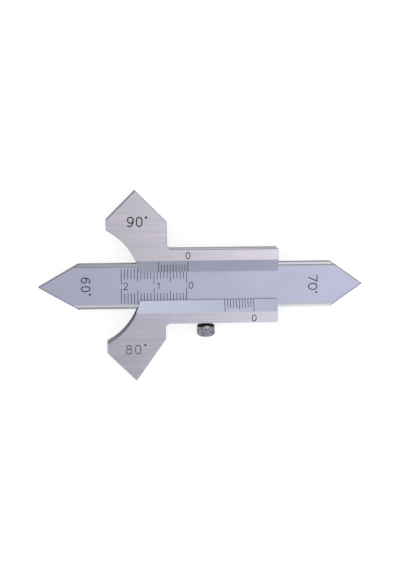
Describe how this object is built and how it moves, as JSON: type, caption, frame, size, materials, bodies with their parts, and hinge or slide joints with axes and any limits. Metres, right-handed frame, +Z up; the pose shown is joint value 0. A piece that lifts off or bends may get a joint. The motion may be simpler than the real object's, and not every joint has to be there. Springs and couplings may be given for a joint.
{
  "type": "vernier weld gauge",
  "caption": "Flat vernier gauge for weld seams: a pointed scale bar slides between two angled jaws and is locked by a knurled screw.",
  "frame": {"origin": "the middle of the part's underside, midway along the bar, as it lies on its back", "axes": "+X along the bar towards its 70 degree tip, +Y towards the 90 degree wing, +Z up out of the scale face"},
  "size_m": [0.1, 0.0584, 0.0061],
  "materials": {
    "scale_bar": "satin chromed scale face with bright ground lands",
    "slider": "fine brushed, satin on the bevels",
    "back_plate": "surface ground",
    "plate_screw": "turned",
    "dowel_pin": "ground",
    "gib": "rolled bronze strip",
    "lock_screw": "diamond knurled"
  },
  "bodies": {
    "slider": {"upper_jaw": "slider", "lower_jaw": "slider", "back_plate": "back_plate", "plate_screw_1": "plate_screw", "plate_screw_2": "plate_screw", "plate_screw_3": "plate_screw", "plate_screw_4": "plate_screw", "dowel_pin_1": "dowel_pin", "dowel_pin_2": "dowel_pin", "dowel_pin_3": "dowel_pin", "dowel_pin_4": "dowel_pin"},
    "bar": {"scale_bar": "scale_bar"},
    "gib_strip": {"gib": "gib"},
    "screw": {"lock_screw": "lock_screw"}
  },
  "joints": [
    {"name": "bar_slide", "type": "slide", "parent": "slider", "child": "bar", "axis": [1, 0, 0], "range_m": [-0.015, 0.0408]},
    {"name": "gib_slide", "type": "slide", "parent": "slider", "child": "gib_strip", "axis": [0, -1, 0], "range_m": [0, 0.0003375]},
    {"name": "lock_screw_turn", "type": "hinge", "parent": "gib_strip", "child": "screw", "pos_m": [0.0012, -0.0117, 0.00305], "axis": [0, -1, 0], "range_deg": [0, 270]}
  ],
  "couplings": [
    {"joint": "lock_screw_turn", "follows": "gib_slide", "rad_per_m": 13963}
  ]
}
